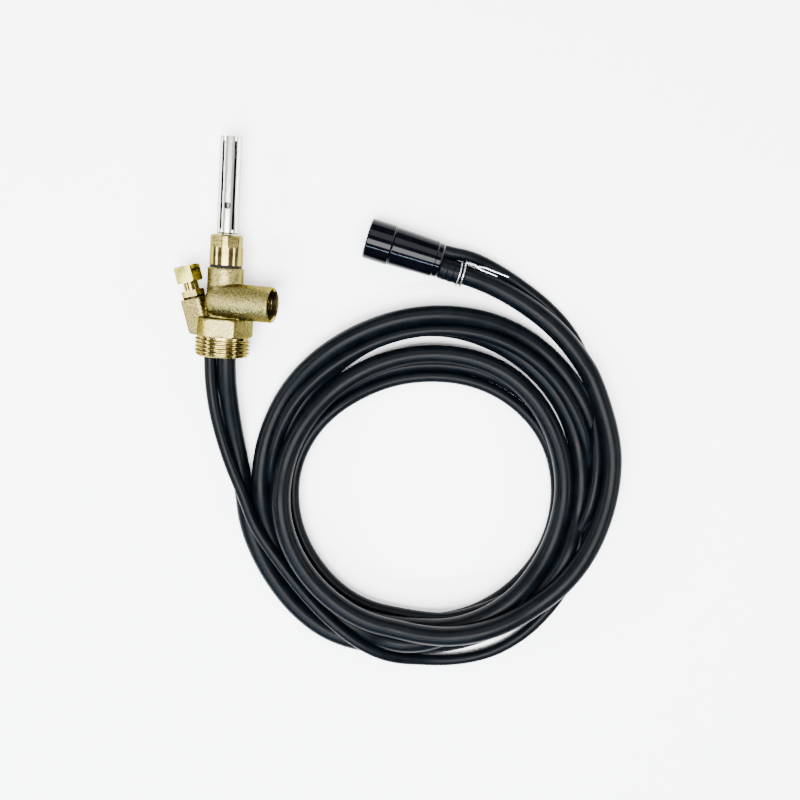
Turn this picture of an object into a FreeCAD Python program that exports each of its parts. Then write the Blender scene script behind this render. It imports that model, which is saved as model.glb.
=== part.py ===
import FreeCAD, Part
import math
import os

# Tank withdrawal head: a brass valve head that screws into a tank's top, with a suction
# hose and a thinner gauge hose that hang from it and end side by side in a plastic sleeve.
# All sizes are millimetres.
#
# Frame: the head lies on its side.  +Y runs along the head's axis, away from the tank,
# with the origin at the centre of the tank thread's end face.  +Z is up from the surface
# that the head and the coiled hoses lie on, and the side port points along +X.

# ---- driving dimensions ----
TANK_THREAD_R = 16.62        # G1 outside thread, 33.25 mm over the crests
TANK_THREAD_L = 12.0
SURFACE_Z = -TANK_THREAD_R   # the surface that everything lies on

HEX_AF = 31.4
HEX_TURN = 1.0               # degrees
HEX_CHAMFER = 1.2
HEX_TOP = 23.2               # height of the hexagon's upper face along the axis
SKIRT_BORE_R = 13.0          # open space inside the thread, where the hoses enter
SKIRT_DEPTH = 14.0

BARREL_R = 10.8
BARREL_TOP = 53.3
CHAMBER_R = 7.2              # valve chamber, threaded at its top for the cap
SEAT_Y = 25.5                # the poppet's seat
SEAT_HOLE_R = 3.5

PORT_Y = 33.7                # side port, G3/8 inside thread
PORT_Z = 4.7                 # the port stands in front of the barrel
PORT_R = 10.7
PORT_END = 31.8
PORT_BORE_R = 7.475
PORT_BORE_L = 14.0
PORT_WAY_R = 5.5
PORT_LIFT = 13.0              # degrees that the port points above the surface

SEAL_T = 1.2
SEAL_R = 9.6
CAP_R = 9.9
CAP_FLATS_AF = 18.7
CAP_ROUND_TOP = 65.3
CAP_FLATS_TOP = 71.9
CAP_TOP = 72.8
CAP_SPIGOT_R = 7.15
CAP_SPIGOT_L = 9.4
CAP_FLAT_TURN = 33.0         # degrees of the first flat from straight up
CAP_SOCKET_L = 3.0

GUARD_R = 6.15
GUARD_WALL = 0.95
GUARD_TOP = 129.8
SLOT_COUNT = 5
SLOT_W = 1.9
SLOT_FIRST = 75.5
SLOT_LAST = 127.2
SLOT_TURN = -32.0            # degrees of the first slot from straight up
CATCH_HOLE_R = 2.1
CATCH_HOLE_Y = 89.8

SPINDLE_R = 2.4
RUNNING_GAP = 0.05
SPINDLE_TOP = 122.0
SPINDLE_HEAD_R = 4.4
SPINDLE_HEAD_L = 5.0
CLIP_Y = 29.7                # underside of the clip that holds the poppet
CLIP_T = 0.8
CLIP_GROOVE = 0.9            # depth of the clip's groove in the spindle
STEM_STEP = 0.4              # the spindle is thinner where the poppet sits
POPPET_R = 5.6
POPPET_T = 2.6
POPPET_SEAL_T = 1.4
SPRING_WIRE_R = 0.45
SPRING_R = 5.3
SPRING_TURNS = 5.0
SPRING_STEPS = 10            # runs in each turn of the wire

O_RING_Y = 61.0
O_RING_R = 0.75
O_RING_GROOVE_W = 1.8

BOSS_LEAN = 17.0             # degrees that the gauge boss leans from the head's axis
BOSS_TOP = (-18.2, 33.7, 0.0)
BOSS_W = 13.6
BOSS_L = 24.0
BOSS_EDGE_R = 2.2
BOSS_BORE_R = 2.0
GAUGE_WAY_R = 1.6            # cross drilling from the boss to the gauge spigot
GAUGE_WAY_L = 6.5
WASHER_T = 1.2
WASHER_R = 6.6
ADAPTER_AF = 12.4
ADAPTER_FLANGE_T = 3.6
ADAPTER_NECK_R = 4.5
ADAPTER_TOP = 15.0
ADAPTER_TAIL_R = 4.0
ADAPTER_TAIL_L = 7.0
PIPE_R = 3.05                # room for a 6 mm gauge pipe
NUT_AF = 14.0
NUT_FIRST = 9.8
NUT_LAST = 19.8
NUT_CAVITY = 17.5

THICK_R = 6.0                # suction hose, 12 mm outside and 8 mm inside
THIN_R = 3.75                # gauge hose, 7.5 mm outside and 4.5 mm inside
THICK_X = 2.3
THIN_X = -7.5
HOSE_START = 11.0            # how far up inside the skirt the hoses reach
SPIGOT_END = 3.0
THICK_BARB_R = 4.4
THIN_BARB_R = 2.6

SLEEVE_FRONT = (83.7, 77.7)
SLEEVE_REAR = (129.3, 67.4)
SLEEVE_R = 12.35
SLEEVE_REAR_R = 10.55
SLEEVE_RING_L = 15.6
SLEEVE_CAVITY_R = 9.4
SLEEVE_STOP = 28.0           # the cavity's inner end
HOSE_SEAT_L = 12.0           # how far the hoses reach into the sleeve
THICK_SIDE = -3.75           # the hoses' places across the sleeve
THIN_SIDE = 6.1
STRAINER_T = 1.2

CUFF_R = 6.9                 # the suction hose swells where it is stretched over its spigot
CUFF_L = 17.0

TIE_WIRE_R = 0.6
TIE_AT = 14.5                # distance of the tie from the sleeve's rear face

COIL_CENTRE = (128.0, -87.0)
COIL_TOP = 13.0
# Outer and inner radius of the coil every 30 degrees, counter-clockwise from +X.
COIL_OUTER = (124, 129, 132, 129, 122, 116, 111, 115, 112, 111, 119, 119)
COIL_INNER = (83, 83, 81, 78, 78, 80, 78, 74, 73, 71, 73, 79)

# Routes of the hoses where they are not coiled.
THICK_HEAD_ROUTE = [
    (THICK_X, HOSE_START, 0.0),
    (THICK_X, -8.0, -0.6),
    (4.6, -31.0, -5.2),
    (8.0, -52.0, -9.2),
    (12.2, -70.0, -10.6),
    (15.4, -88.0, -10.55),
    (20.5, -105.0, -10.5),
]
THIN_HEAD_ROUTE = [
    (THIN_X, HOSE_START, 0.0),
    (THIN_X, -8.0, 0.3),
    (-3.6, -33.0, 0.9),
    (2.3, -54.0, -0.7),
    (8.8, -71.0, -1.0),
    (17.0, -86.0, -0.7),
    (26.0, -100.0, -0.3),
]
THICK_END_ROUTE = [
    (148.0, 59.2, -5.0),
    (162.5, 54.8, -6.6),
    (177.5, 48.2, -6.4),
    (193.0, 39.4, -6.2),
    (206.5, 29.4, -5.2),
    (218.5, 17.0, -3.4),
    (229.5, 2.5, 0.5),
    (237.0, -13.0, 4.0),
    (241.0, -32.0, 5.2),
    (241.0, -50.0, 5.4),
]
THIN_END_ROUTE = [
    (146.5, 71.6, -5.6),
    (161.5, 66.3, -9.4),
    (179.4, 57.0, -11.9),
    (196.6, 46.0, -12.8),
    (210.6, 34.0, -12.75),
    (221.6, 20.0, -12.8),
    (228.4, 4.0, -12.7),
    (231.3, -14.0, -12.8),
    (229.5, -32.0, -12.7),
]
SLEEVE_EXIT = 3.0            # how far the hoses run straight past the sleeve

UP = FreeCAD.Vector(0, 0, 1)
ALONG = FreeCAD.Vector(0, 1, 0)
AXIS_START = FreeCAD.Vector(0, 0, 0)


def vec(x, y, z=0.0):
    return FreeCAD.Vector(x, y, z)


def rod(radius, first, last, x=0.0, z=0.0):
    """A cylinder along the head's axis, from one height to another."""
    return Part.makeCylinder(radius, last - first, vec(x, first, z), ALONG)


def turned(profile, start, direction):
    """A solid turned from (distance along, radius) points, set along a direction."""
    points = [vec(r, 0, s) for s, r in profile]
    face = Part.Face(Part.makePolygon(points + points[:1]))
    solid = face.revolve(vec(0, 0, 0), UP, 360)
    if solid.Volume < 0:
        solid.reverse()
    solid.Placement = FreeCAD.Placement(start, FreeCAD.Rotation(UP, direction))
    return solid


def hexagon(across_flats, start, direction, length, turn=0.0):
    """A hexagonal bar; turn moves its corners round the bar's axis."""
    radius = across_flats / math.sqrt(3)
    corners = [
        vec(
            radius * math.cos(math.radians(turn + 60 * k)),
            radius * math.sin(math.radians(turn + 60 * k)),
        )
        for k in range(6)
    ]
    face = Part.Face(Part.makePolygon(corners + corners[:1]))
    bar = face.extrude(vec(0, 0, length))
    bar.Placement = FreeCAD.Placement(start, FreeCAD.Rotation(UP, direction))
    return bar


def export(shape, name):
    shape = shape.removeSplitter()
    if not shape.isValid():
        print("invalid shape", name)
    shape.exportStep(f"parts/{name}.step")
    print(f"{name}: {shape.Volume:.0f} mm3, {len(shape.Solids)} solid(s)")


# ---- directions and places that several pieces share ----
lift = math.radians(PORT_LIFT)
PORT_DIR = vec(math.cos(lift), 0, math.sin(lift))
PORT_CENTRE = vec(0, PORT_Y, PORT_Z)
lean = math.radians(BOSS_LEAN)
BOSS_DIR = vec(-math.sin(lean), math.cos(lean))
BOSS_SEAT = vec(*BOSS_TOP)
sleeve_run = vec(SLEEVE_REAR[0] - SLEEVE_FRONT[0], SLEEVE_REAR[1] - SLEEVE_FRONT[1])
SLEEVE_L = sleeve_run.Length
SLEEVE_DIR = sleeve_run.normalize()
SLEEVE_START = vec(*SLEEVE_FRONT, SURFACE_Z + SLEEVE_R)
SLEEVE_SIDE = UP.cross(SLEEVE_DIR)


def on_boss(distance):
    return BOSS_SEAT + BOSS_DIR * distance


def in_sleeve(distance, side=0.0):
    return SLEEVE_START + SLEEVE_DIR * distance + SLEEVE_SIDE * side


# ---- the brass head ----
def valve_body():
    """Cast body: tank thread, hexagon, round barrel, side port and leaning gauge boss."""
    thread = rod(TANK_THREAD_R, 0, TANK_THREAD_L)
    hexagon_bar = hexagon(
        HEX_AF, vec(0, TANK_THREAD_L), ALONG, HEX_TOP - TANK_THREAD_L, turn=HEX_TURN
    )
    corner_r = HEX_AF / math.sqrt(3)
    rounding = turned(
        [
            (TANK_THREAD_L, 0),
            (TANK_THREAD_L, corner_r - HEX_CHAMFER),
            (TANK_THREAD_L + HEX_CHAMFER, corner_r),
            (HEX_TOP - HEX_CHAMFER, corner_r),
            (HEX_TOP, corner_r - HEX_CHAMFER),
            (HEX_TOP, 0),
        ],
        AXIS_START,
        ALONG,
    )
    base = hexagon_bar.common(rounding)
    barrel = rod(BARREL_R, HEX_TOP - 1, BARREL_TOP)
    dome = Part.makeSphere(PORT_R, PORT_CENTRE)
    port = Part.makeCylinder(PORT_R, PORT_END, PORT_CENTRE, PORT_DIR)
    half = BOSS_W / 2
    boss = Part.makeBox(BOSS_W, BOSS_W, BOSS_L, vec(-half, -half, -BOSS_L))
    boss = boss.makeFillet(BOSS_EDGE_R, [e for e in boss.Edges if abs(e.tangentAt(0).z) > 0.9])
    boss.Placement = FreeCAD.Placement(BOSS_SEAT, FreeCAD.Rotation(UP, BOSS_DIR))
    below_hexagon = rod(TANK_THREAD_R * 3, -BOSS_L, TANK_THREAD_L)
    boss = boss.cut(below_hexagon)
    solid = thread.fuse([base, barrel, dome, port, boss])

    spigot_hole_top = SKIRT_DEPTH + 6.0
    gauge_way_y = 19.0
    cuts = [
        rod(SKIRT_BORE_R, -1, SKIRT_DEPTH),
        rod(THICK_BARB_R, SKIRT_DEPTH - 1, spigot_hole_top, THICK_X),
        rod(SEAT_HOLE_R, spigot_hole_top - 1, SEAT_Y + 1),
        rod(CHAMBER_R, SEAT_Y, BARREL_TOP + 1),
        Part.makeCylinder(
            PORT_BORE_R, PORT_BORE_L + 1, PORT_CENTRE + PORT_DIR * (PORT_END - PORT_BORE_L), PORT_DIR
        ),
        Part.makeCylinder(PORT_WAY_R, PORT_END - 2, PORT_CENTRE + PORT_DIR, PORT_DIR),
        rod(THIN_BARB_R, SKIRT_DEPTH - 1, gauge_way_y + 1, THIN_X),
        Part.makeCylinder(BOSS_BORE_R, BOSS_L - 5, on_boss(5 - BOSS_L), BOSS_DIR),
        Part.makeCylinder(ADAPTER_TAIL_R, ADAPTER_TAIL_L + 1, on_boss(-ADAPTER_TAIL_L), BOSS_DIR),
        Part.makeCylinder(GAUGE_WAY_R, GAUGE_WAY_L, vec(THIN_X - GAUGE_WAY_L, gauge_way_y), vec(1, 0)),
    ]
    return solid.cut(cuts)


def cap_plug():
    """Screwed cap: threaded spigot below, round skirt, wrench flats and a socket on top."""
    bottom = BARREL_TOP + SEAL_T
    round_part = turned(
        [
            (bottom, 0),
            (bottom, CAP_R - 0.4),
            (bottom + 0.4, CAP_R),
            (CAP_ROUND_TOP, CAP_R),
            (CAP_FLATS_TOP, CAP_R),
            (CAP_TOP, CAP_R - 1.4),
            (CAP_TOP, 0),
        ],
        AXIS_START,
        ALONG,
    )
    flats = hexagon(
        CAP_FLATS_AF,
        vec(0, CAP_ROUND_TOP),
        ALONG,
        CAP_TOP - CAP_ROUND_TOP + 1,
        turn=CAP_FLAT_TURN,
    )
    skirt = rod(CAP_R + 1, bottom - 1, CAP_ROUND_TOP)
    head = round_part.common(flats.fuse(skirt))
    spigot = rod(CAP_SPIGOT_R, bottom - CAP_SPIGOT_L, bottom + 1)
    plug = head.fuse(spigot)
    return plug.cut(
        [
            rod(SPINDLE_R + RUNNING_GAP, bottom - CAP_SPIGOT_L - 1, CAP_TOP + 1),
            rod(GUARD_R, CAP_TOP - CAP_SOCKET_L, CAP_TOP + 1),
            rod(
                SPINDLE_R + 2 * O_RING_R + 0.1,
                O_RING_Y - O_RING_GROOVE_W / 2,
                O_RING_Y + O_RING_GROOVE_W / 2,
            ),
        ]
    )


def guard_tube():
    """Bright tube over the spindle with long slots and a round catch hole."""
    bottom = CAP_TOP - CAP_SOCKET_L
    tube = turned(
        [
            (bottom, GUARD_R - GUARD_WALL),
            (bottom, GUARD_R),
            (CAP_TOP, GUARD_R),
            (CAP_TOP + 0.5, GUARD_R - 0.45),
            (CAP_TOP + 1.4, GUARD_R),
            (GUARD_TOP - 0.3, GUARD_R),
            (GUARD_TOP, GUARD_R - 0.3),
            (GUARD_TOP, GUARD_R - GUARD_WALL),
        ],
        AXIS_START,
        ALONG,
    )
    half = SLOT_W / 2
    for k in range(SLOT_COUNT):
        angle = math.radians(SLOT_TURN + 360.0 * k / SLOT_COUNT)
        outward = vec(math.sin(angle), 0, math.cos(angle))
        across = ALONG.cross(outward) * half
        low = vec(0, SLOT_FIRST + half)
        high = vec(0, SLOT_LAST - half)
        outline = Part.Wire(
            [
                Part.LineSegment(low + across, high + across).toShape(),
                Part.Arc(high + across, high + ALONG * half, high - across).toShape(),
                Part.LineSegment(high - across, low - across).toShape(),
                Part.Arc(low - across, low - ALONG * half, low + across).toShape(),
            ]
        )
        tube = tube.cut(Part.Face(outline).extrude(outward * (GUARD_R + 2)))
    angle = math.radians(SLOT_TURN + 180.0 / SLOT_COUNT)
    outward = vec(math.sin(angle), 0, math.cos(angle))
    return tube.cut(Part.makeCylinder(CATCH_HOLE_R, GUARD_R + 2, vec(0, CATCH_HOLE_Y), outward))


def spindle():
    """Sliding rod: it carries the poppet below and a grip head inside the guard tube."""
    head_start = SPINDLE_TOP - SPINDLE_HEAD_L
    stem = turned(
        [
            (SEAT_Y - 1.2, 0),
            (SEAT_Y - 1.2, 1.5),
            (SEAT_Y - 0.6, SPINDLE_R - STEM_STEP),
            (CLIP_Y + 0.1, SPINDLE_R - STEM_STEP),
            (CLIP_Y + 0.1, SPINDLE_R - CLIP_GROOVE),
            (CLIP_Y + 0.1 + CLIP_T, SPINDLE_R - CLIP_GROOVE),
            (CLIP_Y + 0.1 + CLIP_T, SPINDLE_R),
            (head_start, SPINDLE_R),
            (head_start + 1.2, SPINDLE_HEAD_R),
            (SPINDLE_TOP - 0.8, SPINDLE_HEAD_R),
            (SPINDLE_TOP, SPINDLE_HEAD_R - 0.8),
            (SPINDLE_TOP, 0),
        ],
        AXIS_START,
        ALONG,
    )
    cord_eye = Part.makeCylinder(1.0, 20, vec(-10, SPINDLE_TOP - 2.4), vec(1, 0))
    return stem.cut(cord_eye)


def ring(inner, outer, first, last):
    return rod(outer, first, last).cut(rod(inner, first - 1, last + 1))


def spring():
    """Compression spring between the poppet and the cap."""
    first = CLIP_Y + 1.4 + SPRING_WIRE_R
    last = BARREL_TOP + SEAL_T - CAP_SPIGOT_L - SPRING_WIRE_R - 0.1
    steps = round(SPRING_TURNS * SPRING_STEPS)
    points = []
    for k in range(steps + 1):
        angle = 2 * math.pi * k / SPRING_STEPS
        height = first + (last - first) * k / steps
        points.append((SPRING_R * math.cos(angle), height, SPRING_R * math.sin(angle)))
    return bent_wire(points, SPRING_WIRE_R)


def barbed(root_r, barb_r, bore_r, start, direction, root_l, barb_l, barb_count):
    """Hose spigot: a plain root, then barbs that point back towards the root."""
    pitch = barb_l / barb_count
    neck_r = barb_r - 0.45
    profile = [(0, bore_r), (0, root_r), (root_l, root_r), (root_l, neck_r)]
    for k in range(barb_count):
        profile.append((root_l + pitch * (k + 0.35), neck_r))
        profile.append((root_l + pitch * (k + 0.35), barb_r))
        profile.append((root_l + pitch * (k + 1), neck_r))
    profile.append((root_l + barb_l, bore_r))
    return turned(profile, start, direction)


def gauge_adapter():
    """Screwed into the boss: hexagonal collar, plain neck and the gauge pipe's seat."""
    flange_start = WASHER_T
    flange_end = flange_start + ADAPTER_FLANGE_T
    flange = hexagon(ADAPTER_AF, on_boss(flange_start), BOSS_DIR, ADAPTER_FLANGE_T, turn=14)
    turned_part = turned(
        [
            (-ADAPTER_TAIL_L + 0.3, BOSS_BORE_R),
            (-ADAPTER_TAIL_L + 0.3, ADAPTER_TAIL_R - RUNNING_GAP),
            (flange_start + 0.1, ADAPTER_TAIL_R - RUNNING_GAP),
            (flange_start + 0.1, 5.0),
            (flange_end + 0.1, 5.0),
            (flange_end + 0.1, ADAPTER_NECK_R),
            (ADAPTER_TOP - 0.5, ADAPTER_NECK_R),
            (ADAPTER_TOP, ADAPTER_NECK_R - 0.5),
            (ADAPTER_TOP, PIPE_R),
            (ADAPTER_TOP - 4.0, PIPE_R),
            (ADAPTER_TOP - 4.0, BOSS_BORE_R),
        ],
        BOSS_SEAT,
        BOSS_DIR,
    )
    core = Part.makeCylinder(PIPE_R, ADAPTER_FLANGE_T + 2, on_boss(flange_start - 1), BOSS_DIR)
    return flange.cut(core).fuse(turned_part)


def compression_nut():
    bar = hexagon(NUT_AF, on_boss(NUT_FIRST), BOSS_DIR, NUT_LAST - NUT_FIRST, turn=14)
    corner_r = NUT_AF / math.sqrt(3)
    rounding = turned(
        [
            (NUT_FIRST, 0),
            (NUT_FIRST, corner_r - 0.8),
            (NUT_FIRST + 0.8, corner_r),
            (NUT_LAST - 1.0, corner_r),
            (NUT_LAST, corner_r - 1.0),
            (NUT_LAST, 0),
        ],
        BOSS_SEAT,
        BOSS_DIR,
    )
    cavity_r = ADAPTER_NECK_R + RUNNING_GAP
    cavity = Part.makeCylinder(cavity_r, NUT_CAVITY - NUT_FIRST + 1, on_boss(NUT_FIRST - 1), BOSS_DIR)
    mouth = Part.makeCylinder(PIPE_R, NUT_LAST - NUT_FIRST, on_boss(NUT_FIRST + 2), BOSS_DIR)
    return bar.common(rounding).cut([cavity, mouth])


def compression_ferrule():
    first = ADAPTER_TOP + 0.1
    last = NUT_CAVITY - 0.1
    middle = (first + last) / 2
    return turned(
        [
            (first, PIPE_R),
            (first, PIPE_R + 0.5),
            (middle - 0.4, PIPE_R + 1.3),
            (middle + 0.4, PIPE_R + 1.3),
            (last, PIPE_R + 0.5),
            (last, PIPE_R),
        ],
        BOSS_SEAT,
        BOSS_DIR,
    )


# ---- hoses ----
def rounded_path(points):
    """Straight runs joined by tangent arcs, each as large as its two runs allow."""
    p = [vec(*q) for q in points]
    edges = []
    at = p[0]
    radii = []
    for before, corner, after in zip(p, p[1:], p[2:]):
        run_in = (before - corner).Length
        run_out = (after - corner).Length
        back = (before - corner).normalize()
        ahead = (after - corner).normalize()
        turn = math.pi - back.getAngle(ahead)
        cut = 0.45 * min(run_in, run_out)
        radius = cut / math.tan(turn / 2)
        start = corner + back * cut
        end = corner + ahead * cut
        inward = (back + ahead).normalize()
        middle = corner + inward * (radius / math.cos(turn / 2) - radius)
        if (start - at).Length > 1e-6:
            edges.append(Part.LineSegment(at, start).toShape())
        edges.append(Part.Arc(start, middle, end).toShape())
        radii.append(radius)
        at = end
    edges.append(Part.LineSegment(at, p[-1]).toShape())
    return Part.Wire(edges), radii


def hose(points, radius, name):
    """A round hose along a route, with its volume compared with section times length."""
    wire, radii = rounded_path(points)
    first = wire.Edges[0]
    section = Part.Wire(Part.makeCircle(radius, vec(*points[0]), first.tangentAt(0)))
    tube = wire.makePipeShell([section], True, False)
    expected = math.pi * radius * radius * wire.Length
    listed = ", ".join(f"{r:.0f}" for r in radii)
    print(f"{name}: length {wire.Length:.0f}, radii {listed}, volume ratio {tube.Volume / expected:.3f}")
    return tube


def hose_coil():
    """The outer shape of the coiled hoses: an uneven flat ring with rounded edges."""
    def outline(radii):
        step = 360.0 / len(radii)
        points = [
            vec(
                COIL_CENTRE[0] + r * math.cos(math.radians(step * k)),
                COIL_CENTRE[1] + r * math.sin(math.radians(step * k)),
                SURFACE_Z,
            )
            for k, r in enumerate(radii)
        ]
        curve = Part.BSplineCurve()
        curve.interpolate(points, PeriodicFlag=True)
        return Part.Face(Part.Wire(curve.toShape()))

    height = COIL_TOP - SURFACE_Z
    outer = outline(COIL_OUTER).extrude(vec(0, 0, height))
    inner = outline(COIL_INNER).extrude(vec(0, 0, height))
    flat_ring = outer.cut(inner)
    rims = [e for e in flat_ring.Edges if e.BoundBox.ZLength < 0.1]
    return flat_ring.makeFillet(THICK_R * 0.8, rims)


# ---- the sleeve at the hoses' far end ----
def sleeve_front_ring():
    solid = turned(
        [
            (0, SLEEVE_CAVITY_R),
            (0, SLEEVE_R - 0.8),
            (0.8, SLEEVE_R),
            (SLEEVE_RING_L - 0.5, SLEEVE_R),
            (SLEEVE_RING_L, SLEEVE_R - 0.5),
            (SLEEVE_RING_L, SLEEVE_CAVITY_R),
        ],
        SLEEVE_START,
        SLEEVE_DIR,
    )
    return solid


def end_sleeve():
    """Rear part of the sleeve: a cavity for the ring's spigot and two hose seats."""
    neck_l = 4.0
    solid = turned(
        [
            (SLEEVE_RING_L, 0),
            (SLEEVE_RING_L, SLEEVE_R - 0.9),
            (SLEEVE_RING_L + 0.8, SLEEVE_R - 0.5),
            (SLEEVE_L - neck_l, SLEEVE_REAR_R + 0.5),
            (SLEEVE_L - neck_l + 0.6, SLEEVE_REAR_R),
            (SLEEVE_L - 0.8, SLEEVE_REAR_R),
            (SLEEVE_L, SLEEVE_REAR_R - 0.8),
            (SLEEVE_L, 0),
        ],
        SLEEVE_START,
        SLEEVE_DIR,
    )
    seat_start = SLEEVE_L - HOSE_SEAT_L
    return solid.cut(
        [
            Part.makeCylinder(SLEEVE_CAVITY_R, SLEEVE_STOP - SLEEVE_RING_L + 1,
                              in_sleeve(SLEEVE_RING_L - 1), SLEEVE_DIR),
            Part.makeCylinder(THICK_R, HOSE_SEAT_L + 1, in_sleeve(seat_start, THICK_SIDE), SLEEVE_DIR),
            Part.makeCylinder(THIN_R, HOSE_SEAT_L + 1, in_sleeve(seat_start, THIN_SIDE), SLEEVE_DIR),
            Part.makeCylinder(THICK_BARB_R, 20, in_sleeve(seat_start - 15, THICK_SIDE), SLEEVE_DIR),
            Part.makeCylinder(THIN_BARB_R, 20, in_sleeve(seat_start - 15, THIN_SIDE), SLEEVE_DIR),
        ]
    )


def sleeve_strainer():
    """Round strainer with a grid of holes, held inside the front ring."""
    start = 2.0
    disc = Part.makeCylinder(SLEEVE_CAVITY_R, STRAINER_T, in_sleeve(start), SLEEVE_DIR)
    holes = []
    pitch = 2.4
    rows = range(-3, 4)
    for i in rows:
        for j in rows:
            across = pitch * (i + 0.5 * (j % 2))
            high = pitch * 0.87 * j
            if math.hypot(across, high) < SLEEVE_CAVITY_R - 1.6:
                centre = in_sleeve(start - 1, across) + UP * high
                holes.append(Part.makeCylinder(0.8, STRAINER_T + 2, centre, SLEEVE_DIR))
    return disc.cut(holes)


def sleeve_spigot(barb_r, bore_r, side):
    seat_start = SLEEVE_L - HOSE_SEAT_L
    root_l = seat_start - SLEEVE_STOP + 2.0
    return barbed(barb_r - 0.05, barb_r, bore_r, in_sleeve(SLEEVE_STOP - 2.0, side), SLEEVE_DIR,
                  root_l, 9.0, 3)


def hose_cuff():
    """The swollen end of the suction hose, between the sleeve and just past the tie."""
    profile = [
        (0.2, THICK_R),
        (0.2, CUFF_R - 0.6),
        (1.4, CUFF_R),
        (CUFF_L - 2.2, CUFF_R),
        (CUFF_L, THICK_R + 0.2),
        (CUFF_L, THICK_R),
    ]
    return turned(profile, in_sleeve(SLEEVE_L, THICK_SIDE), SLEEVE_DIR)


def bent_wire(points, radius):
    wire, _ = rounded_path(points)
    section = Part.Wire(Part.makeCircle(radius, vec(*points[0]), wire.Edges[0].tangentAt(0)))
    return wire.makePipeShell([section], True, False)


def wire_tie(centre, direction):
    """Two turns of wire round the suction hose's cuff, a twisted knot and two free tails."""
    turn_r = CUFF_R + TIE_WIRE_R + 0.05
    solids = []
    for shift in (-0.85, 0.85):
        solids.append(Part.makeTorus(turn_r, TIE_WIRE_R, centre + direction * shift, direction))
    side = UP.cross(direction)
    knot_start = centre + side * (turn_r * 0.93) + UP * (turn_r * 0.37)
    knot_dir = (direction + UP * 0.1).normalize()
    solids.append(Part.makeCylinder(1.15, 5.0, knot_start - knot_dir * 1.2, knot_dir))
    tip = knot_start + knot_dir * 3.4
    tails = (
        (18.2, 0.45, -1.6, 1.2),
        (28.0, -0.4, -3.7, 2.0),
    )
    for reach, start_side, end_side, drop in tails:
        points = [
            tip + side * start_side,
            tip + direction * (reach * 0.3) + side * (start_side + end_side * 0.2) + UP * 0.5,
            tip + direction * (reach * 0.65) + side * (end_side * 0.7) - UP * drop * 0.4,
            tip + direction * reach + side * end_side - UP * drop,
        ]
        solids.append(bent_wire([tuple(q) for q in points], TIE_WIRE_R))
    return solids[0].fuse(solids[1:])


def main():
    os.makedirs("parts", exist_ok=True)
    export(valve_body(), "valve_body")
    export(cap_plug(), "cap_plug")
    export(ring(CAP_SPIGOT_R + 0.05, SEAL_R, BARREL_TOP, BARREL_TOP + SEAL_T), "cap_seal_ring")
    export(guard_tube(), "guard_tube")
    export(spindle(), "spindle")
    o_ring = Part.makeTorus(SPINDLE_R + RUNNING_GAP + O_RING_R, O_RING_R, vec(0, O_RING_Y), ALONG)
    export(o_ring, "spindle_o_ring")
    stem_r = SPINDLE_R - STEM_STEP
    seal_top = SEAT_Y + POPPET_SEAL_T
    export(ring(stem_r, POPPET_R - 0.3, SEAT_Y, seal_top), "poppet_seal")
    export(ring(stem_r, POPPET_R, seal_top, CLIP_Y), "poppet_disc")
    clip_first = CLIP_Y + 0.1
    clip = ring(SPINDLE_R - CLIP_GROOVE, POPPET_R - 1.6, clip_first, clip_first + CLIP_T)
    export(clip, "spindle_clip")
    export(spring(), "valve_spring")
    spigot_top = SKIRT_DEPTH + 6.0
    down = ALONG * -1
    export(
        barbed(THICK_BARB_R - 0.03, THICK_BARB_R, 2.75, vec(THICK_X, spigot_top), down,
               spigot_top - HOSE_START - 0.2, HOSE_START - SPIGOT_END, 3),
        "suction_spigot",
    )
    gauge_top = 20.0
    export(
        barbed(THIN_BARB_R - 0.03, THIN_BARB_R, 1.25, vec(THIN_X, gauge_top), down,
               gauge_top - HOSE_START - 0.2, HOSE_START - SPIGOT_END, 3),
        "gauge_spigot",
    )
    export(gauge_adapter(), "gauge_adapter")
    washer = Part.makeCylinder(WASHER_R, WASHER_T, BOSS_SEAT, BOSS_DIR)
    washer = washer.cut(Part.makeCylinder(ADAPTER_TAIL_R + 0.05, WASHER_T + 2, on_boss(-1), BOSS_DIR))
    export(washer, "gauge_adapter_washer")
    export(compression_nut(), "compression_nut")
    export(compression_ferrule(), "compression_ferrule")

    barb_room = HOSE_START - SPIGOT_END + 0.5
    thick_head = hose(THICK_HEAD_ROUTE, THICK_R, "suction hose, head end")
    thick_head = thick_head.cut(rod(THICK_BARB_R, HOSE_START - barb_room, HOSE_START + 1, THICK_X))
    export(thick_head, "suction_hose_head_lead")
    thin_head = hose(THIN_HEAD_ROUTE, THIN_R, "gauge hose, head end")
    thin_head = thin_head.cut(rod(THIN_BARB_R, HOSE_START - barb_room, HOSE_START + 1, THIN_X))
    export(thin_head, "gauge_hose_head_lead")
    export(hose_coil(), "hose_coil")

    seat_start = SLEEVE_L - HOSE_SEAT_L
    end_hoses = (
        ("suction_hose_end_lead", THICK_END_ROUTE, THICK_R, THICK_BARB_R, THICK_SIDE),
        ("gauge_hose_end_lead", THIN_END_ROUTE, THIN_R, THIN_BARB_R, THIN_SIDE),
    )
    for name, route, radius, barb_r, side in end_hoses:
        start = tuple(in_sleeve(seat_start, side))
        past_sleeve = tuple(in_sleeve(SLEEVE_L + SLEEVE_EXIT, side))
        tube = hose([start, past_sleeve] + route, radius, name)
        bore = Part.makeCylinder(barb_r, 10.0, in_sleeve(seat_start - 1, side), SLEEVE_DIR)
        export(tube.cut(bore), name)
    export(hose_cuff(), "suction_hose_cuff")

    export(sleeve_front_ring(), "sleeve_front_ring")
    export(end_sleeve(), "end_sleeve")
    export(sleeve_strainer(), "sleeve_strainer")
    export(sleeve_spigot(THICK_BARB_R, 2.75, THICK_SIDE), "sleeve_suction_spigot")
    export(sleeve_spigot(THIN_BARB_R, 1.25, THIN_SIDE), "sleeve_gauge_spigot")
    export(wire_tie(in_sleeve(SLEEVE_L + TIE_AT, THICK_SIDE), SLEEVE_DIR), "wire_tie")


main()
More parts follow.
